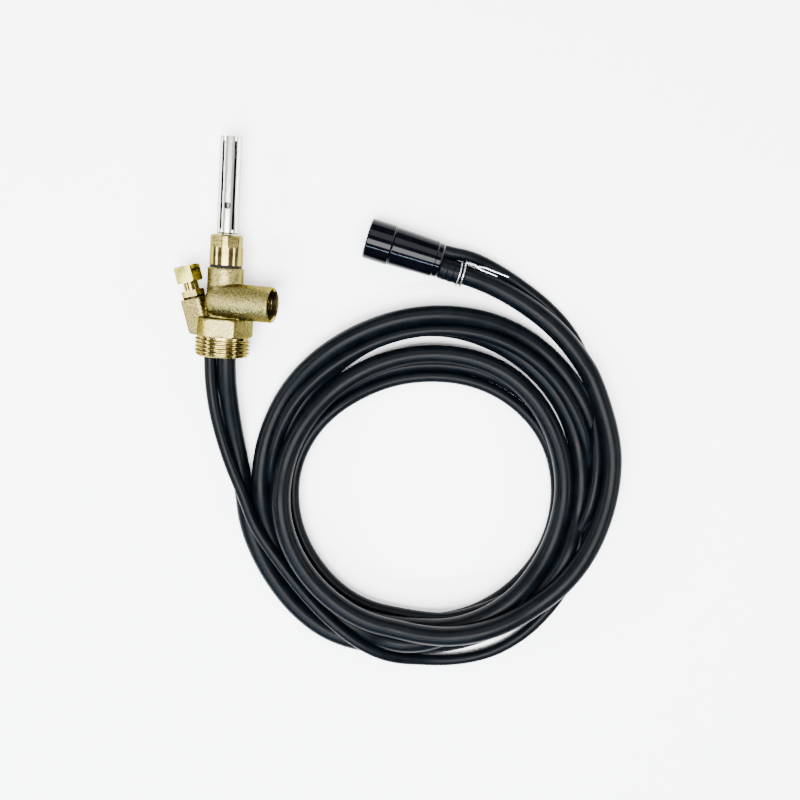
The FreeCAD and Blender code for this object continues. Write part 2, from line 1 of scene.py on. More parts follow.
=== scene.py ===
"""Tank withdrawal head with its two coiled hoses, dressed for rendering around the CAD frame."""

import math

import bmesh
import bpy
import numpy as np
from mathutils import Matrix, Vector, noise


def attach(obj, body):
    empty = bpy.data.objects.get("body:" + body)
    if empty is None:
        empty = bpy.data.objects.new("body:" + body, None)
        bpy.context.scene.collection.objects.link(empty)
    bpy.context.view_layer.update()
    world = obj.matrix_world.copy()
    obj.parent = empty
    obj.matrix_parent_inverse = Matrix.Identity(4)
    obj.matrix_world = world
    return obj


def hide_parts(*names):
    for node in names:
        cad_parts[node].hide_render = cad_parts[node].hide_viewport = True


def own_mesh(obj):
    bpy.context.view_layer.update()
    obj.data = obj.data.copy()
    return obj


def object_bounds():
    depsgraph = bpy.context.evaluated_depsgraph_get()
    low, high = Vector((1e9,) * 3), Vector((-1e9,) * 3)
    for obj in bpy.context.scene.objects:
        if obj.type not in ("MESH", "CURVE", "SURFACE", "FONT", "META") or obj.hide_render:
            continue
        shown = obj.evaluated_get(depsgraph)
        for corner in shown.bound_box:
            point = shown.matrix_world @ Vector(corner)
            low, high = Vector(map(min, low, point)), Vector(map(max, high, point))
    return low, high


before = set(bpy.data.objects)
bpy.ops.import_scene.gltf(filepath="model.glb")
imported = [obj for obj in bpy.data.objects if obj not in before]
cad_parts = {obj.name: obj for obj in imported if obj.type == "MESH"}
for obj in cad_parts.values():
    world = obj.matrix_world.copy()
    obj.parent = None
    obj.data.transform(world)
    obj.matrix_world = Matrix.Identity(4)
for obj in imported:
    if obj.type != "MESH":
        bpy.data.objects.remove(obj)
CAD_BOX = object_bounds()

MM = 0.001
SURFACE_Z = CAD_BOX[0].z
THICK_R = 6.0
THIN_R = 3.75


def mm(x, y, z=0.0):
    """A point of the row frame, given in millimetres."""
    return Vector((x * MM, y * MM, z * MM))


# ---------------------------------------------------------------- camera and light
CAMERA_TARGET = mm(111.3, -22.2, -16.62)
CAMERA_DISTANCE = 0.547
CAMERA_TILT = math.radians(9.8)
CAMERA_ROLL = math.radians(4.47)
CAMERA_LENS = 38.5
ROOM_STRENGTH = 0.40


def look(obj, target, up):
    """Points an object's -Z at target with its +Y towards up."""
    back = (obj.location - target).normalized()
    right = up.cross(back).normalized()
    top = back.cross(right)
    obj.rotation_mode = "QUATERNION"
    obj.rotation_quaternion = Matrix((right, top, back)).transposed().to_quaternion()


def add_camera():
    data = bpy.data.cameras.new("camera")
    data.lens = CAMERA_LENS
    data.sensor_width = 36
    data.clip_start = 0.01
    camera = bpy.data.objects.new("camera", data)
    bpy.context.scene.collection.objects.link(camera)
    picture_up = Vector((-math.sin(CAMERA_ROLL), math.cos(CAMERA_ROLL), 0))
    back = picture_up * math.sin(CAMERA_TILT) + Vector((0, 0, math.cos(CAMERA_TILT)))
    camera.location = CAMERA_TARGET + back * CAMERA_DISTANCE
    look(camera, CAMERA_TARGET, picture_up)
    bpy.context.scene.camera = camera


def add_area_light(name, place, target, size, power, colour=(1, 1, 1)):
    data = bpy.data.lights.new(name, "AREA")
    data.shape = "RECTANGLE"
    data.size, data.size_y = size
    data.energy = power
    data.color = colour
    light = bpy.data.objects.new(name, data)
    bpy.context.scene.collection.objects.link(light)
    light.location = place
    look(light, target, Vector((0, 1, 0.01)))


def add_stage():
    """A plain white surface, a soft white room, four broad lights and a narrow bluish one."""
    mesh = bpy.data.meshes.new("surface")
    half = 4.0
    z = SURFACE_Z - 0.0001
    corners = [(-half, -half, z), (half, -half, z), (half, half, z), (-half, half, z)]
    mesh.from_pydata(corners, [], [(0, 1, 2, 3)])
    floor = bpy.data.objects.new("surface", mesh)
    bpy.context.scene.collection.objects.link(floor)
    material = bpy.data.materials.new("white_surface")
    material.use_nodes = True
    shader = material.node_tree.nodes["Principled BSDF"]
    shader.inputs["Base Color"].default_value = (0.95, 0.95, 0.95, 1)
    shader.inputs["Roughness"].default_value = 0.9
    shader.inputs["Specular IOR Level"].default_value = 0.1
    mesh.materials.append(material)

    world = bpy.data.worlds.new("white_room")
    world.use_nodes = True
    world.node_tree.nodes["Background"].inputs["Color"].default_value = (1, 1, 1, 1)
    world.node_tree.nodes["Background"].inputs["Strength"].default_value = ROOM_STRENGTH
    bpy.context.scene.world = world

    middle = mm(110, -30, 0)
    add_area_light("overhead", mm(60, -200, 1100), middle, (0.85, 0.50), 72.0)
    add_area_light("back_panel", mm(120, 900, 1150), middle, (1.6, 0.8), 34.0)
    add_area_light("left_window", mm(-800, 0, 500), middle, (0.16, 0.8), 14.0)
    add_area_light("right_window", mm(1000, -60, 480), middle, (0.16, 0.8), 11.0)
    add_area_light("front_strip", mm(-120, -760, 880), middle, (0.9, 0.024), 26.0, (0.62, 0.78, 1.0))


# ---------------------------------------------------------------- material helpers
def new_material(name):
    material = bpy.data.materials.new(name)
    material.use_nodes = True
    nodes = material.node_tree.nodes
    return material, nodes, material.node_tree.links, nodes["Principled BSDF"]


def add_node(nodes, kind, **values):
    """A shader node with its inputs set by name."""
    node = nodes.new(kind)
    for key, value in values.items():
        key = key.replace("_", " ")
        if key in node.inputs:
            node.inputs[key].default_value = value
        else:
            setattr(node, key.replace(" ", "_"), value)
    return node


def noise_map(nodes, links, scale, detail=4.0, rough=0.5, stretch=(1, 1, 1)):
    """Object-space noise, its coordinates stretched along the axes."""
    place = nodes.new("ShaderNodeTexCoord")
    mapping = add_node(nodes, "ShaderNodeMapping", Scale=stretch)
    texture = add_node(nodes, "ShaderNodeTexNoise", Scale=scale, Detail=detail, Roughness=rough)
    links.new(place.outputs["Object"], mapping.inputs["Vector"])
    links.new(mapping.outputs["Vector"], texture.inputs["Vector"])
    return texture


def ramp(nodes, links, source, stops):
    """A colour ramp from (position, colour) stops."""
    node = nodes.new("ShaderNodeValToRGB")
    elements = node.color_ramp.elements
    while len(elements) < len(stops):
        elements.new(0.5)
    for element, (position, colour) in zip(elements, stops):
        element.position = position
        element.color = (*colour, 1)
    links.new(source, node.inputs["Fac"])
    return node


def grey(value):
    return (value, value, value)


def add_bump(nodes, links, shader, heights):
    """Chained bumps from (height socket, distance in metres, strength) entries."""
    last = None
    for socket, distance, strength in heights:
        node = add_node(nodes, "ShaderNodeBump", Strength=strength, Distance=distance)
        links.new(socket, node.inputs["Height"])
        if last:
            links.new(last.outputs["Normal"], node.inputs["Normal"])
        last = node
    links.new(last.outputs["Normal"], shader.inputs["Normal"])


def metal(name, colours, roughness, scale, bumps, stretch=(1, 1, 1), glancing_shade=(0.45, 0.42, 0.30)):
    """Metal whose colour and roughness wander with noise; bumps are (scale, distance, strength).

    Its glancing tint is dark, a painted shade along the outlines: it darkens what it reflects at a
    glancing angle.
    """
    material, nodes, links, shader = new_material(name)
    shader.inputs["Metallic"].default_value = 1.0
    shader.inputs["Specular Tint"].default_value = (*glancing_shade, 1)
    tone = noise_map(nodes, links, scale, 5.0, 0.6, stretch)
    colour = ramp(nodes, links, tone.outputs["Fac"], [(0.3, colours[0]), (0.7, colours[1])])
    links.new(colour.outputs["Color"], shader.inputs["Base Color"])
    rough = ramp(
        nodes, links, tone.outputs["Fac"], [(0.3, grey(roughness[0])), (0.7, grey(roughness[1]))]
    )
    links.new(rough.outputs["Color"], shader.inputs["Roughness"])
    heights = []
    for bump_scale, distance, strength in bumps:
        texture = noise_map(nodes, links, bump_scale, 3.0, 0.55, stretch)
        heights.append((texture.outputs["Fac"], distance, strength))
    if heights:
        add_bump(nodes, links, shader, heights)
    return material


TUBE_BORE_R = 5.4            # between the guard tube's bore and its outside


def paint_bore_shade(material, radius):
    """Turns the metal nearly black closer to the head's axis than radius: a painted shade inside the
    bore.
    """
    nodes, links = material.node_tree.nodes, material.node_tree.links
    shader = nodes["Principled BSDF"]
    place = nodes.new("ShaderNodeTexCoord")
    flat = add_node(nodes, "ShaderNodeVectorMath", operation="MULTIPLY")
    flat.inputs[1].default_value = (1, 0, 1)
    length = add_node(nodes, "ShaderNodeVectorMath", operation="LENGTH")
    outside = add_node(nodes, "ShaderNodeMath", operation="GREATER_THAN")
    outside.inputs[1].default_value = radius
    links.new(place.outputs["Object"], flat.inputs[0])
    links.new(flat.outputs["Vector"], length.inputs[0])
    links.new(length.outputs["Value"], outside.inputs[0])
    mix = nodes.new("ShaderNodeMix")
    mix.data_type = "RGBA"
    source = shader.inputs["Base Color"].links[0].from_socket
    links.new(outside.outputs["Value"], mix.inputs["Factor"])
    for socket in mix.inputs:
        if socket.name == "A" and socket.type == "RGBA":
            # near black inside the bore: painted shade
            socket.default_value = (0.004, 0.004, 0.004, 1)
        if socket.name == "B" and socket.type == "RGBA":
            links.new(source, socket)
    for socket in mix.outputs:
        if socket.type == "RGBA":
            links.new(socket, shader.inputs["Base Color"])


def make_materials():
    made = {}
    made["cast_brass"] = metal(
        "cast_brass",
        ((0.088, 0.073, 0.021), (0.220, 0.185, 0.062)),
        (0.22, 0.34),
        900.0,
        ((1500.0, 0.00035, 0.6), (600.0, 0.0004, 0.35)),
    )
    made["turned_brass"] = metal(
        "turned_brass",
        ((0.14, 0.112, 0.030), (0.26, 0.212, 0.070)),
        (0.10, 0.20),
        60.0,
        ((900.0, 0.00004, 0.25),),
        stretch=(1, 6, 1),
    )
    made["thread_brass"] = metal(
        "thread_brass",
        ((0.13, 0.10, 0.028), (0.34, 0.28, 0.095)),
        (0.12, 0.24),
        110.0,
        ((900.0, 0.00006, 0.3),),
    )
    # Near-black brass: the gauge adapter's washer in its own dark colour, and a painted shade inside
    # the side port's bore.
    made["dark_washer_and_bore_shade"] = metal(
        "dark_washer_and_bore_shade",
        ((0.006, 0.005, 0.002), (0.020, 0.015, 0.006)),
        (0.25, 0.4),
        120.0,
        ((900.0, 0.00006, 0.3),),
    )
    made["nut_brass"] = metal(
        "nut_brass",
        ((0.27, 0.24, 0.045), (0.42, 0.38, 0.10)),
        (0.10, 0.20),
        90.0,
        ((700.0, 0.00003, 0.2),),
    )
    made["bright_tube"] = metal(
        "bright_tube",
        ((0.60, 0.61, 0.53), (0.76, 0.77, 0.69)),
        (0.16, 0.24),
        40.0,
        ((600.0, 0.00003, 0.15),),
        stretch=(1, 0.15, 1),
        # A near-black glancing tint, a painted shade along the tube's outline.
        glancing_shade=(0.12, 0.12, 0.10),
    )
    # The guard tube's bore is painted nearly black, a painted shade.
    paint_bore_shade(made["bright_tube"], TUBE_BORE_R * MM)
    made["steel"] = metal(
        "steel",
        ((0.05, 0.05, 0.05), (0.10, 0.10, 0.10)),
        (0.30, 0.45),
        120.0,
        ((900.0, 0.00003, 0.2),),
    )
    made["tie_wire"] = metal(
        "tie_wire",
        ((0.30, 0.31, 0.33), (0.50, 0.51, 0.53)),
        (0.12, 0.22),
        500.0,
        ((1500.0, 0.00003, 0.3),),
    )
    for name, colour, roughness, bump, specular in (
        ("hose_black", (0.0003, 0.0007, 0.0011), (0.30, 0.40), 0.3, 0.04),
        ("sleeve_black", (0.0002, 0.0003, 0.0008), (0.07, 0.12), 0.06, 0.06),
        ("black_rubber", (0.002, 0.002, 0.002), (0.55, 0.7), 0.5, 0.1),
    ):
        made[name] = black_plastic(name, colour, roughness, bump, specular)
    return made


def black_plastic(name, colour, roughness, bump, specular):
    """Extruded black plastic: dusty patches, faint grain and a soft sheen."""
    material, nodes, links, shader = new_material(name)
    shader.inputs["Specular IOR Level"].default_value = specular
    patches = noise_map(nodes, links, 90.0, 5.0, 0.6)
    lighter = tuple(c * 1.9 + 0.0004 for c in colour)
    tone = ramp(nodes, links, patches.outputs["Fac"], [(0.35, colour), (0.72, lighter)])
    links.new(tone.outputs["Color"], shader.inputs["Base Color"])
    rough = ramp(
        nodes, links, patches.outputs["Fac"], [(0.3, grey(roughness[0])), (0.7, grey(roughness[1]))]
    )
    links.new(rough.outputs["Color"], shader.inputs["Roughness"])
    grain = noise_map(nodes, links, 1600.0, 2.0, 0.5)
    waves = noise_map(nodes, links, 70.0, 2.0, 0.5)
    add_bump(
        nodes,
        links,
        shader,
        [(grain.outputs["Fac"], 0.00004, bump), (waves.outputs["Fac"], 0.0006, bump * 0.5)],
    )
    return material


def dress(obj, material):
    """Gives every face of an object one material."""
    obj.data.materials.clear()
    obj.data.materials.append(material)


# ---------------------------------------------------------------- hoses
# Routes where the hoses aren't coiled, in millimetres, as in the CAD part.
THICK_HEAD_ROUTE = [
    (2.3, 11.0, 0.0),
    (2.3, -8.0, -0.6),
    (4.6, -31.0, -5.2),
    (8.0, -52.0, -9.2),
    (12.2, -70.0, -10.6),
]
THIN_HEAD_ROUTE = [
    (-7.5, 11.0, 0.0),
    (-7.5, -8.0, 0.3),
    (-3.6, -33.0, 0.9),
    (2.3, -54.0, -0.7),
    (8.8, -71.0, -1.0),
]
THICK_END_ROUTE = [
    (229.5, 2.5, 0.5),
    (218.5, 17.0, -3.4),
    (206.5, 29.4, -5.2),
    (193.0, 39.4, -6.2),
    (177.5, 48.2, -6.4),
    (162.5, 54.8, -6.6),
    (148.0, 59.2, -5.0),
    (131.4, 63.1, -4.27),
    (116.8, 66.4, -4.27),
]
THIN_END_ROUTE = [
    (228.4, 4.0, -12.7),
    (221.6, 20.0, -12.8),
    (210.6, 34.0, -12.75),
    (196.6, 46.0, -12.8),
    (179.4, 57.0, -11.9),
    (161.5, 66.3, -9.4),
    (146.5, 71.6, -5.6),
    (133.6, 72.7, -4.27),
    (119.0, 76.0, -4.27),
]
# The coil: distance from its centre at every 30 degrees, turn after turn, and how high
# each strand was laid (0 on the surface, larger on top of others).
COIL_CENTRE = (128.0, -87.0)
STATION_STEP = 30.0
LAYER_HEIGHT = 2.6
THICK_FIRST = 180.0
THICK_STATIONS = [
    112.5, 106.8, 107, 98.5, 98.5, 102,
    112, 121, 125.5, 121, 113.5, 107.5, 101, 96.5, 93.5, 90, 90, 97,
    104, 111, 115, 115, 106.5, 97, 90, 86, 84, 83, 84, 88,
    92, 97, 101, 97, 92.5, 89.5, 87, 83, 80.5, 80, 86, 99,
    115, 130,
]
THIN_FIRST = 180.0
THIN_STATIONS = [
    111.6, 95, 96, 107, 116, 114,
    111, 115, 118, 114, 106, 101, 94, 89.5, 87, 88, 91, 94,
    97, 99, 96, 90, 86.5, 84, 82, 80.5, 80, 81, 84, 87,
    90, 91.5, 88, 82.5, 81, 82.3, 81, 78.5, 78, 78.5, 83, 92,
    106, 122,
]
THICK_LAYERS = [(180, 0), (300, 0), (345, 3), (375, 4.4), (405, 4.4), (430, 3), (540, 3), (600, 4.5),
                (690, 4.5), (780, 1), (860, 1.5), (900, 3.2), (960, 3.4), (1230, 3), (1290, 5.5),
                (1470, 8)]
THIN_LAYERS = [(180, 9), (240, 9), (262, 0), (350, 0), (385, 5), (520, 5), (560, 0), (890, 0),
               (960, 0), (1240, 0), (1290, 1.5), (1400, 3), (1470, 6)]


def spread(pairs, at):
    """Straight-line values between (angle, value) pairs."""
    angles, values = zip(*pairs)
    return np.interp(at, angles, values)


def smooth_stations(first, stations, at):
    """Distance at any angle, on a smooth curve through the stations."""
    values = np.array([stations[0], *stations, stations[-1]], float)
    t = (np.asarray(at, float) - first) / STATION_STEP
    i = np.clip(np.floor(t).astype(int), 0, len(stations) - 2)
    f = t - i
    a, b, c, d = values[i], values[i + 1], values[i + 2], values[np.minimum(i + 3, len(values) - 1)]
    return 0.5 * (
        2 * b + (c - a) * f + (2 * a - 5 * b + 4 * c - d) * f**2 + (3 * b - a - 3 * c + d) * f**3
    )


def coil_strand(first, stations, layers, radius, step):
    """Points of one hose round the coil, at rough heights by the order it was laid."""
    last = first + STATION_STEP * (len(stations) - 1)
    angles = np.arange(first, last + 0.1, step)
    reach = smooth_stations(first, stations, angles)
    height = SURFACE_Z / MM + radius + LAYER_HEIGHT * spread(layers, angles)
    turned = np.radians(angles)
    return np.stack(
        [
            COIL_CENTRE[0] + reach * np.cos(turned),
            COIL_CENTRE[1] + reach * np.sin(turned),
            height,
        ],
        axis=1,
    )


ROUNDS = 260
SINK = 0.12                  # how far a point falls in each round
HEIGHT_EVENING = 0.22        # share of the way to its neighbours' middle, up and down
PLAN_EVENING = 0.35          # and sideways
PULL_BACK = 0.10             # share of the way back to its own place in plan
SIDE_PUSH = 0.3              # strands are pushed apart mostly upwards
CLEARANCE = 0.15
OWN_STRAND = 8               # points of one strand closer than this are never pushed apart
NEAR = 32.0                  # points further apart than this in plan can't meet


def settle(strands, radii, fixed):
    """Lets the strands sink onto the surface and each other.

    Every round lowers the points a little, evens out each strand's height, pulls it back
    towards its own place in plan and pushes apart any two points that are too close. The figure
    printed at the end compares these points only. The finished hoses, with their stretches to
    the head and the sleeve, still cut into each other at crossings, in places much deeper.
    """
    points = np.concatenate(strands)
    start = points.copy()
    owner = np.concatenate([np.full(len(s), k) for k, s in enumerate(strands)])
    order = np.concatenate([np.arange(len(s)) for s in strands])
    radius = np.array([radii[k] for k in owner])
    held = np.concatenate(fixed)
    i, j = np.triu_indices(len(points), 1)
    apart = (owner[i] != owner[j]) | (np.abs(order[i] - order[j]) > OWN_STRAND)
    near = np.linalg.norm(start[i, :2] - start[j, :2], axis=1) < NEAR
    i, j = i[apart & near], j[apart & near]
    reach = radius[i] + radius[j] + CLEARANCE
    floor = SURFACE_Z / MM + radius
    inside = np.concatenate([
        np.arange(1, len(s) - 1) + owner.searchsorted(k) for k, s in enumerate(strands)
    ])
    for _ in range(ROUNDS):
        points[:, 2] -= SINK
        for _ in range(2):
            middle = (points[inside - 1] + points[inside + 1]) / 2
            shift = middle - points[inside]
            rest = (start[inside - 1] + start[inside + 1]) / 2 - start[inside]
            points[inside, 2] += HEIGHT_EVENING * shift[:, 2]
            points[inside, :2] += PLAN_EVENING * (shift - rest)[:, :2]
        points[:, :2] += PULL_BACK * (start - points)[:, :2]
        gap = points[i] - points[j]
        distance = np.linalg.norm(gap, axis=1)
        close = distance < reach
        push = gap[close] / np.maximum(distance[close], 1e-6)[:, None]
        push *= (0.5 * (reach - distance)[close])[:, None]
        push[:, :2] *= SIDE_PUSH
        move = np.zeros_like(points)
        count = np.zeros(len(points))
        np.add.at(move, i[close], push * (1.0 + held[j[close]])[:, None])
        np.add.at(move, j[close], -push * (1.0 + held[i[close]])[:, None])
        np.add.at(count, i[close], 1)
        np.add.at(count, j[close], 1)
        points += move / np.maximum(np.sqrt(count), 1)[:, None]
        points[:, 2] = np.maximum(points[:, 2], floor)
        points[held] = start[held]
    gap = np.linalg.norm(points[i] - points[j], axis=1)
    print("coil points, before the curve: up to %.2f mm too close, top %.1f mm" % (
        (reach - gap).max(), (points[:, 2] + radius).max()))
    split = np.cumsum([len(s) for s in strands])[:-1]
    return np.split(points, split)


def hose_curve(name, points, radius):
    """A round hose on one smooth spline with these control points, in millimetres."""
    curve = bpy.data.curves.new(name, "CURVE")
    curve.dimensions = "3D"
    curve.bevel_depth = radius * MM
    curve.bevel_resolution = 7
    curve.resolution_u = 8
    curve.use_fill_caps = True
    spline = curve.splines.new("NURBS")
    spline.points.add(len(points) - 1)
    for point, place in zip(spline.points, points):
        point.co = (*[c * MM for c in place], 1.0)
    spline.order_u = 3
    spline.use_endpoint_u = True
    hose = bpy.data.objects.new(name, curve)
    bpy.context.scene.collection.objects.link(hose)
    return hose


FINE_STEP = 3.0
POINT_STEP = 4               # every fourth fine point becomes a control point
THICK_ENDS = (-10.62, 4.5)   # heights where the coiled part meets the two straight stretches
THIN_ENDS = (-0.9, -12.8)


def make_hoses(materials, extras):
    """Both hoses in one piece each; extras, the Blender pieces that lie on the thick one, are not
    used.
    """
    thick = coil_strand(THICK_FIRST, THICK_STATIONS, THICK_LAYERS, THICK_R, FINE_STEP)
    thin = coil_strand(THIN_FIRST, THIN_STATIONS, THIN_LAYERS, THIN_R, FINE_STEP)
    for strand, heights in ((thick, THICK_ENDS), (thin, THIN_ENDS)):
        strand[[0, -1], 2] = heights
    fixed = []
    for strand in (thick, thin):
        held = np.zeros(len(strand), bool)
        held[[0, -1]] = True
        fixed.append(held)
    thick, thin = settle([thick, thin], [THICK_R, THIN_R], fixed)
    for name, radius, head, coil, end, exit_x, length, far in (
        ("suction_hose", THICK_R, THICK_HEAD_ROUTE, thick, THICK_END_ROUTE, 2.3, 2.50,
         ["sleeve_suction_spigot", "end_sleeve", "sleeve_front_ring", "sleeve_strainer", *extras]),
        ("gauge_hose", THIN_R, THIN_HEAD_ROUTE, thin, THIN_END_ROUTE, -7.5, 2.35,
         ["sleeve_gauge_spigot"]),
    ):
        route = [*head, *[tuple(p) for p in coil[::POINT_STEP]], *end]
        hose = hose_curve(name, route, radius)
        hose.data.materials.append(materials["hose_black"])
        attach(hose, "head")
        lead = [f"{name}_head_lead", f"{name}_end_lead"]
        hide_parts(*lead, "hose_coil")


# ---------------------------------------------------------------- brass pieces
LIFT = math.radians(13.0)
PORT_DIRECTION = Vector((math.cos(LIFT), 0, math.sin(LIFT)))
PORT_CENTRE = mm(0, 33.7, 4.7)
PORT_END = 31.8
CASTING_START = 11.8         # the casting begins above the tank thread's groove
VOXEL = 0.42
PORT_BAR_R = 9.9             # leaves the casting's wall outside the port's thread
PORT_BORE_SEEN_R = 9.6       # faces of the bore inside this get the near-black brass, a painted shade
BODY_AXIS_CLEAR = 5.0        # and only those away from the body's own bore
GRAIN, LUMP = 1.1, 4.5       # sizes of the sand's marks on the casting
GRAIN_HEIGHT, LUMP_HEIGHT = 0.075, 0.10


def new_piece(name, mesh, material, body, smooth=True):
    """Links a mesh as a piece that rides on a body, with the given material."""
    piece = bpy.data.objects.new(name, mesh)
    bpy.context.scene.collection.objects.link(piece)
    mesh.materials.clear()
    mesh.materials.append(material)
    mesh.polygons.foreach_set("use_smooth", [smooth] * len(mesh.polygons))
    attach(piece, body)
    return piece


def apply_modifier(obj, kind, **values):
    """Adds a modifier, sets it up and applies its result to the mesh."""
    modifier = obj.modifiers.new(kind, kind)
    for key, value in values.items():
        setattr(modifier, key, value)
    graph = bpy.context.evaluated_depsgraph_get()
    mesh = bpy.data.meshes.new_from_object(obj.evaluated_get(graph))
    obj.modifiers.clear()
    obj.data = mesh


def cutter(radius, first, last, origin, direction):
    """A round bar used to cut the casting."""
    shape = bmesh.new()
    bmesh.ops.create_cone(
        shape, cap_ends=True, segments=96, radius1=radius * MM, radius2=radius * MM,
        depth=(last - first) * MM,
    )
    turn = direction.to_track_quat("Z", "Y").to_matrix().to_4x4()
    middle = origin + direction * ((first + last) / 2 * MM)
    shape.transform(Matrix.Translation(middle) @ turn)
    mesh = bpy.data.meshes.new("cutter")
    shape.to_mesh(mesh)
    shape.free()
    bar = bpy.data.objects.new("cutter", mesh)
    bpy.context.scene.collection.objects.link(bar)
    return bar


def sand_cast(mesh):
    """Moves every point along its normal as the sand of the mould leaves it."""
    count = len(mesh.vertices)
    places = np.empty(count * 3)
    normals = np.empty(count * 3)
    mesh.vertices.foreach_get("co", places)
    mesh.vertices.foreach_get("normal", normals)
    places = places.reshape(-1, 3)
    normals = normals.reshape(-1, 3)
    height = np.array([
        GRAIN_HEIGHT * noise.noise(Vector(p) / (GRAIN * MM))
        + LUMP_HEIGHT * noise.noise(Vector(p) / (LUMP * MM))
        for p in places
    ])
    places += normals * (height * MM)[:, None]
    mesh.vertices.foreach_set("co", places.ravel())
    mesh.update()


def body_casting(materials):
    """The cast body without its machined threads, with rounded inner corners and a rough skin."""
    source = bmesh.new()
    source.from_mesh(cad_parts["valve_body"].data)
    bmesh.ops.remove_doubles(source, verts=source.verts, dist=0.002 * MM)
    mesh = bpy.data.meshes.new("body_casting")
    source.to_mesh(mesh)
    source.free()
    piece = new_piece("body_casting", mesh, materials["cast_brass"], "head")
    along = Vector((0, 1, 0))
    bars = [
        cutter(18.5, -2.0, CASTING_START, Vector((0, 0, 0)), along),
        cutter(PORT_BAR_R, PORT_END - 15.0, PORT_END + 2.0, PORT_CENTRE, PORT_DIRECTION),
    ]
    for bar in bars:
        apply_modifier(piece, "BOOLEAN", operation="DIFFERENCE", solver="EXACT", object=bar)
        bpy.data.objects.remove(bar)
    apply_modifier(piece, "REMESH", mode="VOXEL", voxel_size=VOXEL * MM, use_smooth_shade=True)
    apply_modifier(piece, "SMOOTH", factor=0.5, iterations=12)
    sand_cast(piece.data)
    dress(piece, materials["cast_brass"])
    # Faces inside the side port's bore get the near-black brass, a painted shade.
    piece.data.materials.append(materials["dark_washer_and_bore_shade"])
    for face in piece.data.polygons:
        centre = face.center - PORT_CENTRE
        across = centre - PORT_DIRECTION * centre.dot(PORT_DIRECTION)
        inward = across.length < PORT_BORE_SEEN_R * MM and across.dot(face.normal) < 0
        if inward and centre.x > BODY_AXIS_CLEAR * MM:
            face.material_index = 1
    return piece


THREAD_ROW = 0.16            # length of one row of faces along a thread
THREAD_FLATS = 1.35          # above 1, crests and roots are a little flat


def threaded_ring(name, origin, direction, length, crest, root, plain, pitch, limit):
    """A ring with a helical thread on one side and a plain wall on the other.

    limit(s) bounds the threaded wall at distance s along the ring, for chamfers and grooves.
    The thread is outside when the plain wall is the smaller one. Sizes are in millimetres.
    """
    around = 144
    rows = int(length / THREAD_ROW)
    outside = plain < root
    across = direction.orthogonal().normalized()
    other = direction.cross(across)
    mesh = bmesh.new()
    rings = []
    places = [length * k / rows for k in range(rows + 1)]
    for s in places:
        ring = []
        for k in range(around):
            turn = 2 * math.pi * k / around
            phase = (s / pitch + k / around) % 1.0
            rise = 0.5 + 0.5 * math.cos(2 * math.pi * phase)
            rise = min(max(THREAD_FLATS * (rise - 0.5) + 0.5, 0.0), 1.0)
            radius = root + (crest - root) * rise
            bound = limit(s)
            radius = min(radius, bound) if outside else max(radius, bound)
            out = across * math.cos(turn) + other * math.sin(turn)
            ring.append(mesh.verts.new(origin + direction * (s * MM) + out * (radius * MM)))
        rings.append(ring)
    for s in (length, 0.0):
        ring = []
        for k in range(around):
            turn = 2 * math.pi * k / around
            out = across * math.cos(turn) + other * math.sin(turn)
            ring.append(mesh.verts.new(origin + direction * (s * MM) + out * (plain * MM)))
        rings.append(ring)
    rings.append(rings[0])
    for low, high in zip(rings, rings[1:]):
        for k in range(around):
            n = (k + 1) % around
            mesh.faces.new((low[k], low[n], high[n], high[k]))
    bmesh.ops.recalc_face_normals(mesh, faces=mesh.faces)
    data = bpy.data.meshes.new(name)
    mesh.to_mesh(data)
    mesh.free()
    return data


def tank_thread(materials):
    """The G1 thread with its lead-in chamfer below and its run-out groove above."""
    crest, root, length = 16.62, 15.2, 12.6

    def limit(s):
        groove = root + 0.25 if s > 10.6 else crest
        return min(crest, root + 0.1 + s * 0.9, groove)

    mesh = threaded_ring(
        "tank_thread", Vector((0, 0, 0)), Vector((0, 1, 0)), length, crest, root, 13.0, 2.309, limit
    )
    return new_piece("tank_thread", mesh, materials["thread_brass"], "head")


def port_thread(materials):
    """The machined mouth of the side port: a bright face, a countersink and the inside thread."""
    crest, root, depth = 7.6, 8.45, 14.0

    def limit(s):
        from_mouth = depth - s
        return 9.75 - from_mouth * 0.9 if from_mouth < 2.4 else crest

    origin = PORT_CENTRE + PORT_DIRECTION * ((PORT_END - depth) * MM)
    mesh = threaded_ring(
        "port_thread", origin, PORT_DIRECTION, depth, crest, root, 10.2, 1.6, limit
    )
    piece = new_piece("port_thread", mesh, materials["turned_brass"], "head")
    mesh.materials.append(materials["dark_washer_and_bore_shade"])
    # Roots, flanks and countersink of the port's thread get the near-black brass, a painted shade;
    # crests and the last 0.9 mm at the mouth stay bright.
    painted_shade_from, painted_shade_to, bright_rim = crest + 0.04, 9.2, 0.9
    for face in mesh.polygons:
        centre = face.center - PORT_CENTRE
        along = centre.dot(PORT_DIRECTION)
        radius = (centre - PORT_DIRECTION * along).length / MM
        if painted_shade_from < radius < painted_shade_to and along < (PORT_END - bright_rim) * MM:
            face.material_index = 1
    return piece


def closing_spring(materials):
    """The spring inside the body, which shortens as the spindle lifts; here a fixed copy of the CAD
    spring's mesh.
    """
    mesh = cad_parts["valve_spring"].data.copy()
    piece = new_piece("closing_spring", mesh, materials["steel"], "head")
    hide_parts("valve_spring")
    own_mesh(piece)
    return piece


# ---------------------------------------------------------------- hose end
SLEEVE_REAR = mm(129.3, 67.4, -4.27)
SLEEVE_DIRECTION = Vector((45.6, -10.3, 0)).normalized()
SLEEVE_SIDE = Vector((0, 0, 1)).cross(SLEEVE_DIRECTION)
THICK_SIDE = -3.75
CUFF_R = 6.9
WIRE_R = 0.5


def at_cuff(along, side=0.0, up=0.0):
    """A point beside the suction hose's axis, behind the sleeve's rear face."""
    shift = SLEEVE_DIRECTION * along + SLEEVE_SIDE * (THICK_SIDE + side) + Vector((0, 0, up))
    return SLEEVE_REAR + shift * MM


